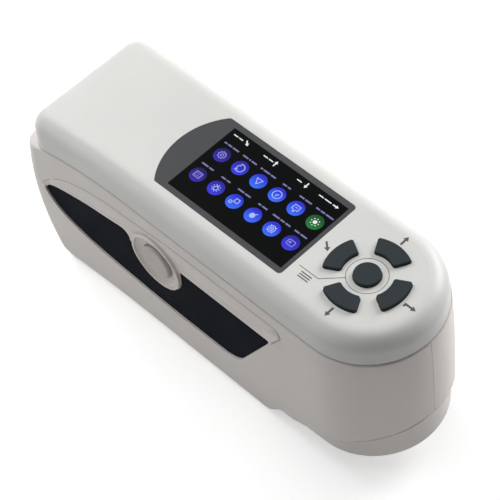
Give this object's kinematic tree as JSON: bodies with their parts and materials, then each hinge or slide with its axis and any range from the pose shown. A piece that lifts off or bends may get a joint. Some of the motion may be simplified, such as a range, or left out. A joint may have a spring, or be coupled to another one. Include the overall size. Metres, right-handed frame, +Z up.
{
  "type": "portable colorimeter",
  "caption": "Hand-held colour measuring instrument with a round nose, a flush display, a ring keypad, side grips, a side button, a battery door and a port under the nose.",
  "frame": {"origin": "centre of the footprint at the height of the surface that the instrument lies on", "axes": "+Z up, +Y towards the rear end, -Y towards the round nose with the measuring port, -X the side with the measuring button"},
  "size_m": [0.0684, 0.2059, 0.0972],
  "materials": {
    "cover_plastic": "fine satin, light grey",
    "housing_plastic": "fine satin, light warm grey",
    "grip_rubber": "fine matte",
    "ring_rubber": "matte",
    "mat_rubber": "matte",
    "lens_gloss": "polished dark acrylic",
    "display_glass": "polished",
    "clear_glass": "polished",
    "key_plastic": "satin slate",
    "button_plastic": "satin, light warm grey",
    "inner_plastic": "moulded, dark",
    "board_green": "lacquered board",
    "chip_black": "moulded package",
    "switch_metal": "stamped",
    "battery_wrap": "shrink sleeve",
    "sphere_white": "diffuse white",
    "screw_steel": "zinc plated",
    "led_clear": "clear resin",
    "tube_aluminium": "black anodised",
    "insert_brass": "knurled, bright",
    "ribbon_film": "amber film"
  },
  "bodies": {
    "case": {"top_cover": "cover_plastic", "housing_left": "housing_plastic", "housing_right": "housing_plastic", "nose_base": "housing_plastic", "port_ring": "ring_rubber", "port_window": "clear_glass", "grip_left": "grip_rubber", "grip_right": "grip_rubber", "screen_lens": "lens_gloss", "lcd_panel": "display_glass", "lcd_frame": "inner_plastic", "keypad_mat": "mat_rubber", "key_board": "board_green", "tact_switches": "switch_metal", "button_bezel": "housing_plastic", "button_switch": "switch_metal", "button_board": "board_green", "main_board": "board_green", "board_chips": "chip_black", "buzzer": "chip_black", "inner_frame": "inner_plastic", "battery_tray": "inner_plastic", "battery_pack": "battery_wrap", "battery_connector": "chip_black", "sphere_lower": "sphere_white", "sphere_upper": "sphere_white", "head_screws": "screw_steel", "led_board": "board_green", "led_chips": "led_clear", "detector_tube": "tube_aluminium", "detector_lens": "clear_glass", "sensor_board": "board_green", "sensor_chip": "chip_black", "usb_port": "switch_metal", "io_board": "board_green", "case_screws": "screw_steel", "cover_screws": "screw_steel", "brass_inserts": "insert_brass", "rubber_feet": "ring_rubber", "ribbon_cable": "ribbon_film"},
    "key_menu": {"key_menu": "key_plastic"},
    "key_up": {"key_up": "key_plastic"},
    "key_down": {"key_down": "key_plastic"},
    "key_enter": {"key_enter": "key_plastic"},
    "key_back": {"key_back": "key_plastic"},
    "measure_button": {"measure_button": "button_plastic"},
    "battery_door": {"battery_door": "housing_plastic", "door_pad": "mat_rubber"}
  },
  "joints": [
    {"name": "key_menu_press", "type": "slide", "parent": "case", "child": "key_menu", "axis": [0, 0, -1], "range_m": [0, 0.0008], "stiffness_N_per_m": 1800, "springref_m": -0.0006},
    {"name": "key_up_press", "type": "slide", "parent": "case", "child": "key_up", "axis": [0, 0, -1], "range_m": [0, 0.0008], "stiffness_N_per_m": 1800, "springref_m": -0.0006},
    {"name": "key_down_press", "type": "slide", "parent": "case", "child": "key_down", "axis": [0, 0, -1], "range_m": [0, 0.0008], "stiffness_N_per_m": 1800, "springref_m": -0.0006},
    {"name": "key_enter_press", "type": "slide", "parent": "case", "child": "key_enter", "axis": [0, 0, -1], "range_m": [0, 0.0008], "stiffness_N_per_m": 1800, "springref_m": -0.0006},
    {"name": "key_back_press", "type": "slide", "parent": "case", "child": "key_back", "axis": [0, 0, -1], "range_m": [0, 0.0008], "stiffness_N_per_m": 1800, "springref_m": -0.0006},
    {"name": "measure_press", "type": "slide", "parent": "case", "child": "measure_button", "axis": [1, 0, 0], "range_m": [0, 0.0015], "stiffness_N_per_m": 1200, "springref_m": -0.0008},
    {"name": "battery_door_lift", "type": "slide", "parent": "case", "child": "battery_door", "axis": [0, 0, -1], "range_m": [0, 0.03]}
  ]
}
